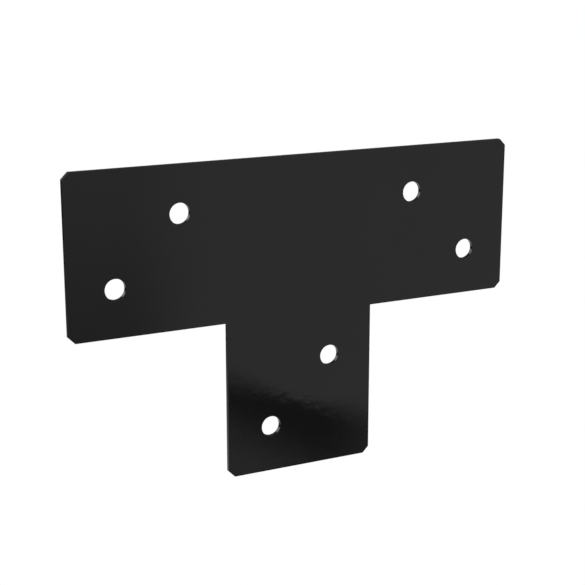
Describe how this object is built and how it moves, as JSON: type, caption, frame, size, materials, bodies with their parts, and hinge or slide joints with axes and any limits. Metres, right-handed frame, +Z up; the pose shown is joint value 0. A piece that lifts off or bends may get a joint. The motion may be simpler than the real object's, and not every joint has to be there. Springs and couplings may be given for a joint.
{
  "type": "tee connector plate",
  "caption": "Flat black T-shaped steel connector plate for joining square timber posts and rails, with cut corners and a diagonal pair of round bolt holes in each arm.",
  "frame": {"origin": "on the back face, where the centre lines of the crossbar and the stem cross", "axes": "+X along the crossbar to the right as seen from the front, +Y out of the back face into the timber, +Z up, with the stem hanging down along -Z"},
  "size_m": [0.255, 0.0025, 0.17],
  "materials": {
    "black_powder_coat": "gloss black powder coat with a fine orange peel over sheet steel"
  },
  "bodies": {
    "root": {"tee_plate": "black_powder_coat"}
  },
  "joints": []
}
